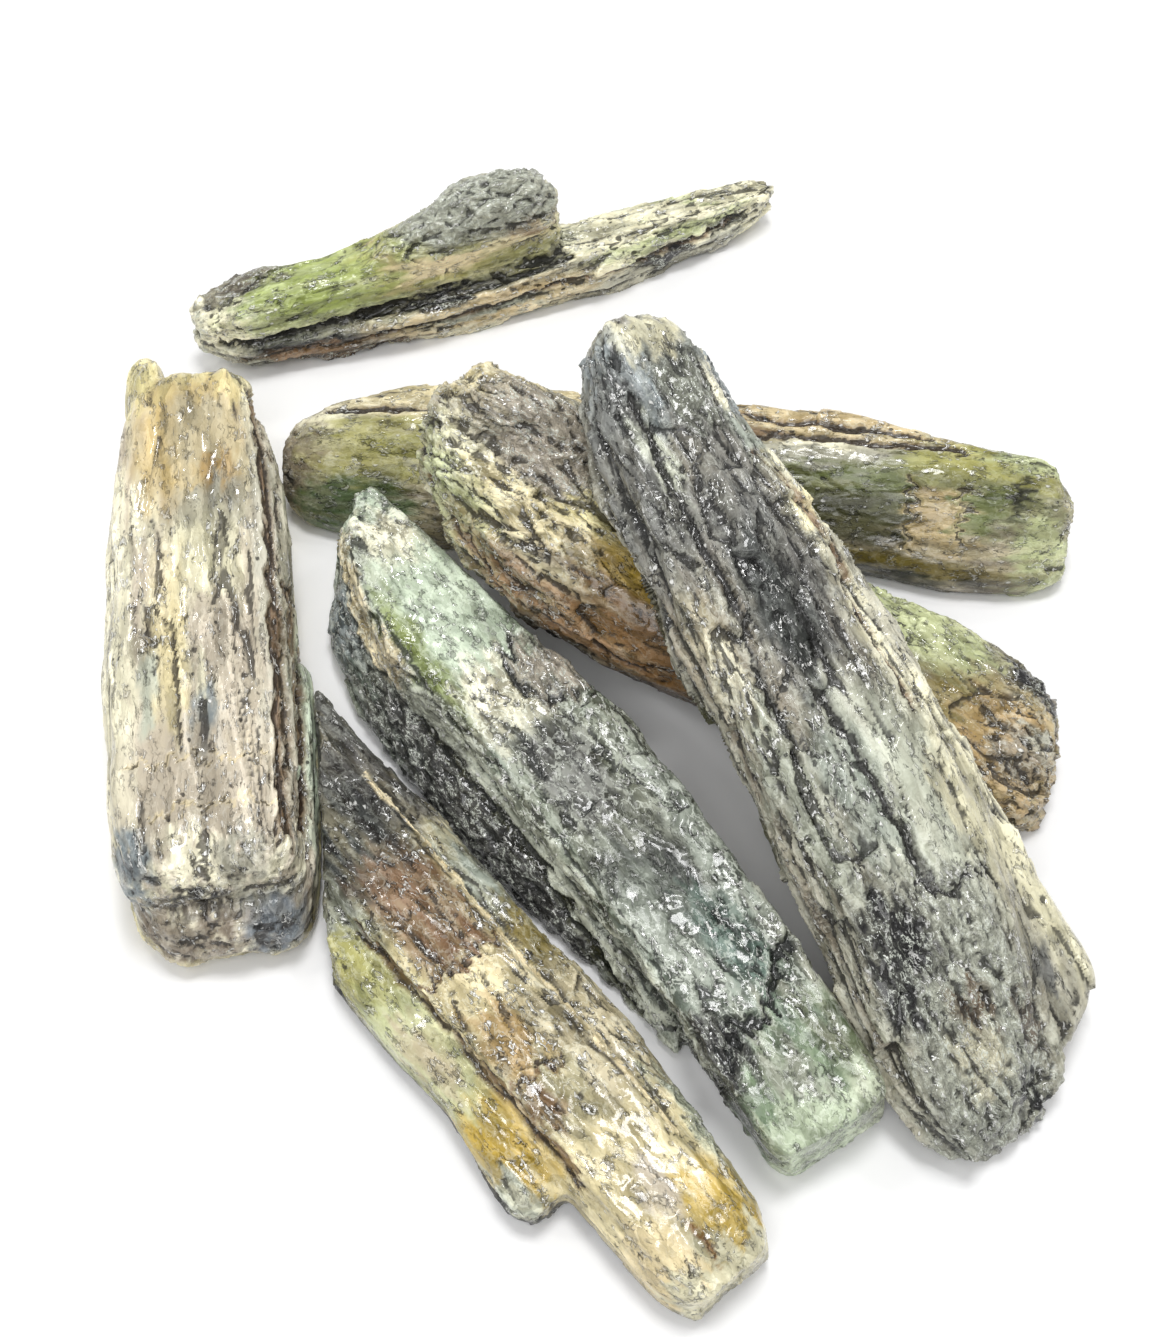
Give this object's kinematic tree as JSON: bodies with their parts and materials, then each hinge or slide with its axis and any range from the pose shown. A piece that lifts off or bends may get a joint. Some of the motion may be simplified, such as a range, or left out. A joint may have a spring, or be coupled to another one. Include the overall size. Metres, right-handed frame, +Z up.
{
  "type": "kyanite blade cluster",
  "caption": "Loose cluster of rough bladed kyanite crystals, long flat fibrous bars of green, tan and grey stone laid beside and across each other on a flat surface.",
  "frame": {"origin": "middle of the bottom of the cluster's box, on the surface it lies on", "axes": "+Z up; +Y away from the viewer, along the cluster's longest side; +X to the right"},
  "size_m": [0.0984, 0.1316, 0.0324],
  "materials": {
    "tan_kyanite": "weathered fibrous kyanite, cream and tan with grey streaks, silky",
    "brown_kyanite": "translucent kyanite, brown and yellow-green patches with frosted cleavage steps",
    "green_kyanite": "sage-green kyanite, frosted and mottled dark grey, dark mica along one side",
    "grey_kyanite": "blue-grey kyanite with dark mica and pale green splinters",
    "honey_kyanite": "honey and olive kyanite, pitted, with purple-brown mica",
    "olive_kyanite": "olive-green kyanite with a brown layered strip and tan cleavage patches",
    "twin_kyanite": "grass-green translucent kyanite with a crumpled grey mica lump"
  },
  "bodies": {
    "root": {"tan_slab": "tan_kyanite", "stepped_brown_blade": "brown_kyanite", "centre_green_blade": "green_kyanite", "long_leaning_blade": "grey_kyanite", "propped_brown_blade": "honey_kyanite", "back_olive_blade": "olive_kyanite", "twin_mica_blade": "twin_kyanite"}
  },
  "joints": []
}
